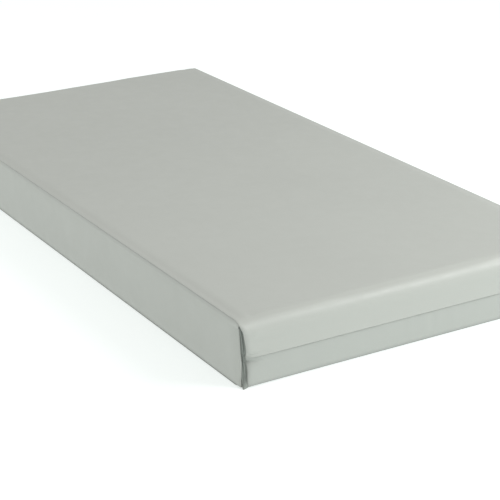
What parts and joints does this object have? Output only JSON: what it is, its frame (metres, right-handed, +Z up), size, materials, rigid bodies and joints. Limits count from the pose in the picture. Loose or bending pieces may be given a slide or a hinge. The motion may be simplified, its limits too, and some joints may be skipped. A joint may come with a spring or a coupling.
{
  "type": "pressure relief mattress",
  "caption": "Ward foam mattress with a firm border and soft cut-cell zones, in a sealed coated-fabric cover with a zip behind a flap at the foot end.",
  "frame": {"origin": "middle of the underside, on the surface the mattress lies on", "axes": "+X along the length towards the foot end with the zip, +Y towards the left side, +Z up"},
  "size_m": [1.9, 0.9, 0.15],
  "materials": {
    "top_fabric": "smooth matt coated knit, pale grey-green",
    "base_fabric": "heavier smooth coated fabric, pale grey-green",
    "seam_fabric": "folded coated fabric, pale grey-green",
    "zip_tape": "woven polyester tape, grey-green",
    "zip_coil": "polyester coil, grey-green",
    "zip_metal": "nickel-plated, satin",
    "sock_fabric": "knitted fire barrier, off-white",
    "firm_foam": "open-cell foam, firm, pale blue",
    "soft_foam": "open-cell foam, soft, cream",
    "heel_foam": "open-cell foam, softest, pale pink"
  },
  "bodies": {
    "mattress": {"top_cover": "top_fabric", "base_cover": "base_fabric", "side_panel_left": "top_fabric", "side_panel_right": "top_fabric", "corner_seam_foot_left": "seam_fabric", "corner_seam_foot_right": "seam_fabric", "corner_seam_head_left": "seam_fabric", "corner_seam_head_right": "seam_fabric", "head_seam": "seam_fabric", "zip_tape_upper": "zip_tape", "zip_tape_lower": "zip_tape", "zip_coil_upper": "zip_coil", "zip_coil_lower": "zip_coil", "zip_stops": "zip_metal", "fire_barrier_sock": "sock_fabric", "foam_base": "firm_foam", "side_wall_left": "firm_foam", "side_wall_right": "firm_foam", "head_wall": "firm_foam", "foot_wall": "firm_foam", "head_pad": "soft_foam", "body_pad": "soft_foam", "heel_pad": "heel_foam"},
    "flap": {"zip_flap": "top_fabric"},
    "slider": {"zip_slider": "zip_metal", "puller_pin": "zip_metal"},
    "puller": {"zip_puller": "zip_metal"}
  },
  "joints": [
    {"name": "zip_flap_fold", "type": "hinge", "parent": "mattress", "child": "flap", "pos_m": [0.9495, 0, 0.0913], "axis": [0, -1, 0], "range_deg": [0, 150]},
    {"name": "zip_slider_run", "type": "slide", "parent": "mattress", "child": "slider", "axis": [0, -1, 0], "range_m": [0, 0.8]},
    {"name": "zip_puller_turn", "type": "hinge", "parent": "slider", "child": "puller", "pos_m": [0.9476, 0.417, 0.082], "axis": [0, 0, 1], "range_deg": [0, 180]}
  ]
}
